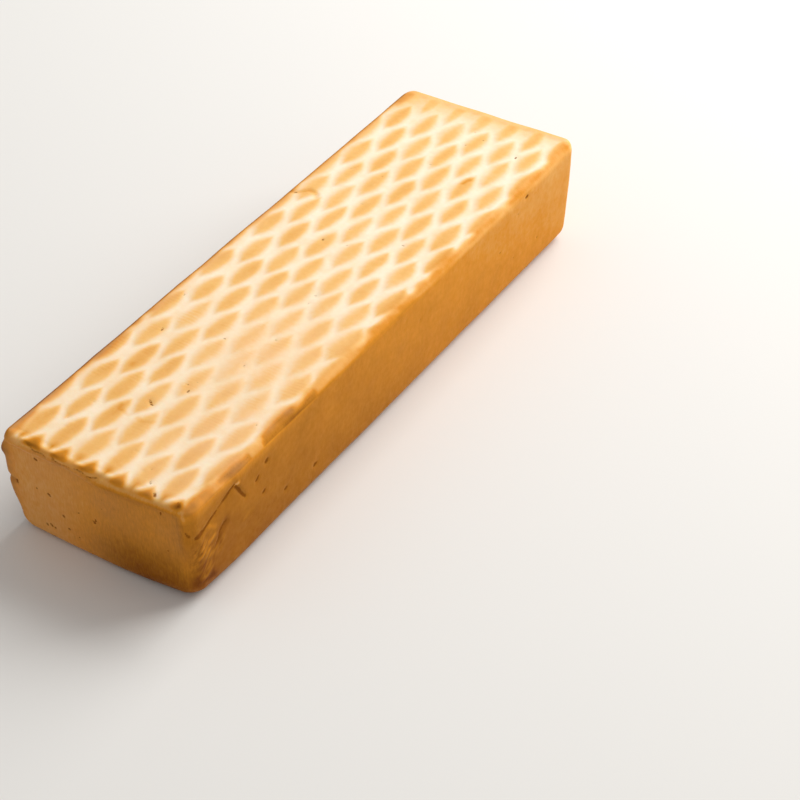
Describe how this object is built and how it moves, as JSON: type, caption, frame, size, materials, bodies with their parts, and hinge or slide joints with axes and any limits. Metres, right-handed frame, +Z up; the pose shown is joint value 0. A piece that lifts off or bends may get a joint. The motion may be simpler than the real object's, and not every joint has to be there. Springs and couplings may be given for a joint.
{
  "type": "smoked swiss cheese",
  "caption": "Long low bar of smoked cheese with rounded edges, an amber smoked rind, a scuffed corner and pale diamond net marks pressed into its top.",
  "frame": {"origin": "middle of the flat base, on the surface that the loaf rests on", "axes": "+Y along the loaf, with the lipped and scuffed end at -Y; +X across it, towards the scuffed side; +Z up"},
  "size_m": [0.0904, 0.29, 0.0482],
  "materials": {
    "smoked_rind": "waxy smoked cheese skin, amber brown on the walls, with cream net lines round honey-coloured almonds on top"
  },
  "bodies": {
    "root": {"cheese_loaf": "smoked_rind"}
  },
  "joints": []
}
